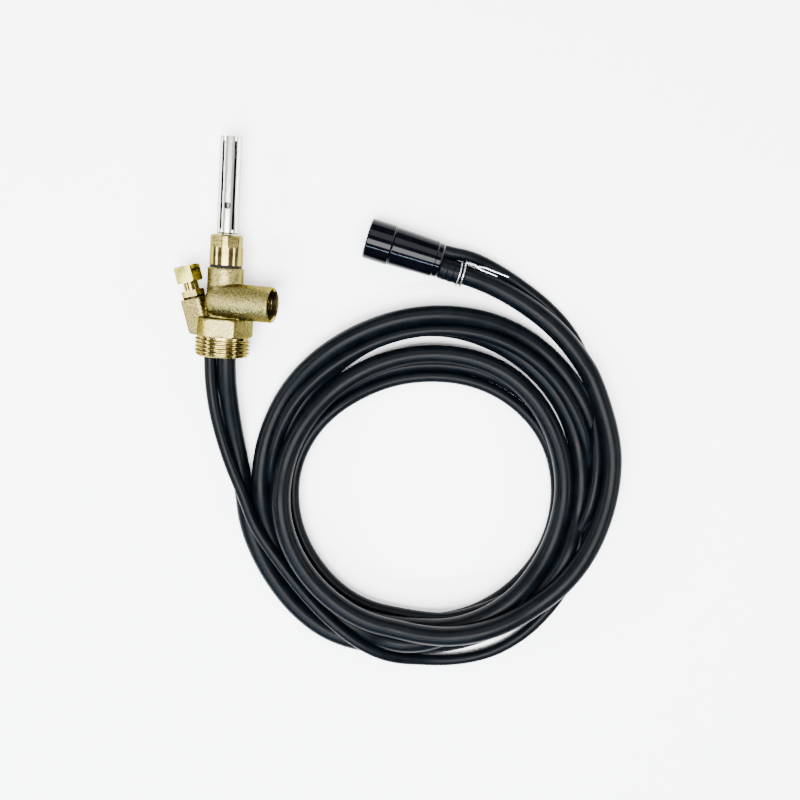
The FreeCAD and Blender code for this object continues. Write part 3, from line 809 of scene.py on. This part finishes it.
def hose_cuff(materials):
    """The stretched end of the suction hose: three low ripples over the barbs inside it."""
    around = 64
    length = 16.6
    rows = 66
    mesh = bmesh.new()
    rings = []
    for j in range(rows + 1):
        s = 0.2 + length * j / rows
        swell = min(1.0, (s + 0.6) / 1.8) * min(1.0, max(0.0, (17.3 - s) / 3.4))
        ripple = 0.14 * math.cos(2 * math.pi * s / 4.1)
        radius = THICK_R - 0.15 + (CUFF_R - THICK_R + 0.15 + ripple) * swell**0.8
        ring = []
        for k in range(around):
            turn = 2 * math.pi * k / around
            wobble = 0.10 * noise.noise(Vector((s * 0.3, math.cos(turn), math.sin(turn))))
            r = radius + wobble
            ring.append(mesh.verts.new(at_cuff(s, r * math.cos(turn), r * math.sin(turn))))
        rings.append(ring)
    for low, high in zip(rings, rings[1:]):
        for k in range(around):
            n = (k + 1) % around
            mesh.faces.new((low[k], low[n], high[n], high[k]))
    mesh.faces.new(rings[0])
    mesh.faces.new(rings[-1])
    bmesh.ops.recalc_face_normals(mesh, faces=mesh.faces)
    data = bpy.data.meshes.new("rippled_cuff")
    mesh.to_mesh(data)
    mesh.free()
    piece = new_piece("rippled_cuff", data, materials["hose_black"], "head")
    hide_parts("suction_hose_cuff")
    return piece


def tie_strands():
    """Centre lines of the tie: two turns round the cuff, a twisted knot and two tails."""
    turn_r = CUFF_R + WIRE_R + 0.25
    tie_at = 14.2
    turns = []
    for k in range(53):
        angle = math.radians(38 + 360 * 2 * k / 52)
        along = tie_at - 2.0 + 4.4 * k / 52 + 0.35 * math.sin(angle)
        turns.append(at_cuff(along, turn_r * math.cos(angle), turn_r * math.sin(angle)))
    knot_side, knot_up = 7.1, 3.2
    strands = [turns]
    for phase, reach, end_side, drop in ((0.0, 27.0, -1.6, 1.0), (math.pi, 20.0, -1.2, 0.6)):
        line = []
        for k in range(15):
            angle = phase + 2 * math.pi * 2.5 * k / 14
            s = tie_at + 0.4 + 5.4 * k / 14
            line.append(at_cuff(
                s, knot_side + 0.62 * math.cos(angle), knot_up + 0.62 * math.sin(angle)))
        for share in (0.25, 0.5, 0.75, 1.0):
            s = tie_at + 5.8 + (reach - 5.0) * share
            side = knot_side + math.cos(phase) + end_side * share
            line.append(at_cuff(s, side, knot_up - drop * share))
        strands.append(line)
    return strands


def wire_tie(materials):
    curve = bpy.data.curves.new("twisted_tie", "CURVE")
    curve.dimensions = "3D"
    curve.bevel_depth = WIRE_R * MM
    curve.bevel_resolution = 4
    curve.resolution_u = 5
    curve.use_fill_caps = True
    for line in tie_strands():
        spline = curve.splines.new("NURBS")
        spline.points.add(len(line) - 1)
        for point, place in zip(spline.points, line):
            point.co = (*place, 1.0)
        spline.order_u = 3
        spline.use_endpoint_u = True
    tie = bpy.data.objects.new("twisted_tie", curve)
    bpy.context.scene.collection.objects.link(tie)
    curve.materials.append(materials["tie_wire"])
    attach(tie, "head")
    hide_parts("wire_tie")
    return tie


# ---------------------------------------------------------------- build
NODE_MATERIALS = {
    "cap_plug": "turned_brass",
    "cap_seal_ring": "black_rubber",
    "guard_tube": "bright_tube",
    "spindle": "steel",
    "spindle_o_ring": "black_rubber",
    "poppet_seal": "black_rubber",
    "poppet_disc": "turned_brass",
    "spindle_clip": "steel",
    "suction_spigot": "turned_brass",
    "gauge_spigot": "turned_brass",
    "gauge_adapter": "turned_brass",
    "gauge_adapter_washer": "dark_washer_and_bore_shade",
    "compression_nut": "nut_brass",
    "compression_ferrule": "turned_brass",
    "sleeve_front_ring": "sleeve_black",
    "end_sleeve": "sleeve_black",
    "sleeve_strainer": "turned_brass",
    "sleeve_suction_spigot": "turned_brass",
    "sleeve_gauge_spigot": "turned_brass",
}


def main():
    add_camera()
    add_stage()
    materials = make_materials()
    for node, material in NODE_MATERIALS.items():
        dress(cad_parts[node], materials[material])
    casting = body_casting(materials)
    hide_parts("valve_body")
    tank_thread(materials)
    port_thread(materials)
    closing_spring(materials)
    cuff = hose_cuff(materials)
    tie = wire_tie(materials)
    make_hoses(materials, [cuff, tie])


main()
